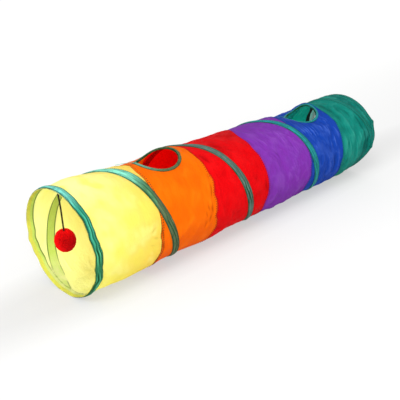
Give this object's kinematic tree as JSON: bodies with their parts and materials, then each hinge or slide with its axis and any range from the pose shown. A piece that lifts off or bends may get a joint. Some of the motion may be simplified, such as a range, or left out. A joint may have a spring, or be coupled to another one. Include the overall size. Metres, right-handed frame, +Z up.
{
  "type": "cat tunnel",
  "caption": "Spring-wire cat tunnel of rainbow cloth panels with green bindings, peep holes on its crown and a pompom toy hanging in its mouth.",
  "frame": {"origin": "on the surface that the tunnel lies on, under the middle of its box", "axes": "+X along the tunnel from the mouth with the pompom to the far end, +Z up, -Y towards the side seen in the picture"},
  "size_m": [1.075, 0.2544, 0.2554],
  "materials": {
    "yellow_cloth": "thin woven nylon, pale lemon yellow, slightly see-through, soft sheen",
    "orange_cloth": "thin woven nylon, bright orange, soft sheen",
    "red_cloth": "thin woven nylon, bright red, soft sheen",
    "purple_cloth": "thin woven nylon, purple, soft sheen",
    "blue_cloth": "thin woven nylon, royal blue, soft sheen",
    "green_cloth": "thin woven nylon, teal green, soft sheen",
    "green_tape": "stitched woven tape, sea green, soft sheen",
    "dark_elastic": "round braided elastic, near black",
    "red_pompom": "dense cut pile, bright red, matt"
  },
  "bodies": {
    "root": {"panel_yellow": "yellow_cloth", "panel_orange": "orange_cloth", "panel_red": "red_cloth", "panel_purple": "purple_cloth", "panel_blue": "blue_cloth", "panel_green": "green_cloth", "mouth_binding": "green_tape", "spiral_binding": "green_tape", "end_binding": "green_tape", "hole_binding_orange": "green_tape", "hole_binding_blue": "green_tape", "pompom_cord": "dark_elastic", "pompom": "red_pompom"}
  },
  "joints": []
}
